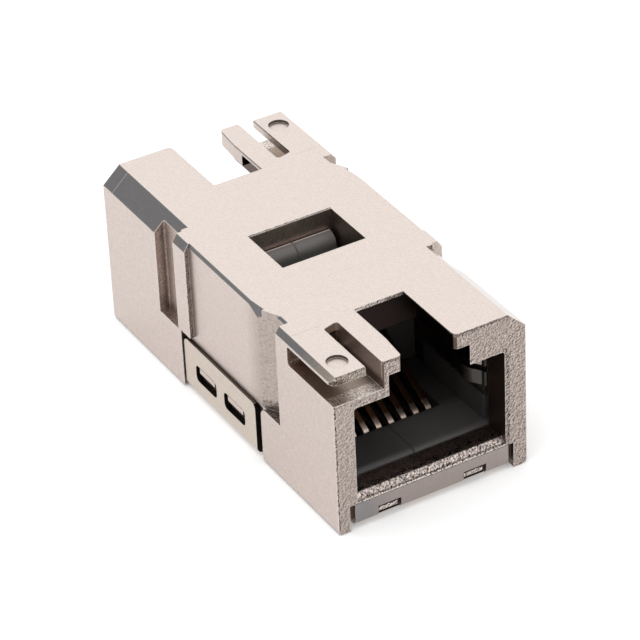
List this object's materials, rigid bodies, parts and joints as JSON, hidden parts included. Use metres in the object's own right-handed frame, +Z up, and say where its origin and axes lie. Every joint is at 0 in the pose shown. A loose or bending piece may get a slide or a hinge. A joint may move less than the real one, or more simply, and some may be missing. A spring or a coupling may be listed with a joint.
{
  "type": "modular coupler insert",
  "caption": "Die-cast coupler insert with a modular plug port at each end, contact rows inside, a latch keyway, spring tongues, side grooves and a folded sheet cover below.",
  "frame": {"origin": "middle of the footprint, at the feet", "axes": "+X across the ports, +Y along the insert from the near port to the far port, +Z up"},
  "size_m": [0.0154, 0.0322, 0.0129],
  "materials": {
    "satin_nickel": "nickel-plated zinc casting with a satin, faintly grained skin",
    "sheet_metal": "smooth nickel-plated sheet",
    "dark_plastic": "dark grey moulded plastic with a fine satin skin",
    "gilt_contact": "gold-plated bronze wire",
    "spring_leaf": "thin bright spring sheet",
    "circuit_board": "green solder mask on glass laminate"
  },
  "bodies": {
    "root": {"housing": "satin_nickel", "bottom_cover": "sheet_metal", "near_carrier_left": "dark_plastic", "near_carrier_right": "dark_plastic", "far_carrier_left": "dark_plastic", "far_carrier_right": "dark_plastic", "circuit_board": "circuit_board", "near_contact_1": "gilt_contact", "near_contact_2": "gilt_contact", "near_contact_3": "gilt_contact", "near_contact_4": "gilt_contact", "near_contact_5": "gilt_contact", "near_contact_6": "gilt_contact", "near_contact_7": "gilt_contact", "near_contact_8": "gilt_contact", "far_contact_1": "gilt_contact", "far_contact_2": "gilt_contact", "far_contact_3": "gilt_contact", "far_contact_4": "gilt_contact", "far_contact_5": "gilt_contact", "far_contact_6": "gilt_contact", "far_contact_7": "gilt_contact", "far_contact_8": "gilt_contact", "near_spring_left": "spring_leaf", "near_spring_right": "spring_leaf", "far_spring_left": "spring_leaf", "far_spring_right": "spring_leaf"}
  },
  "joints": []
}
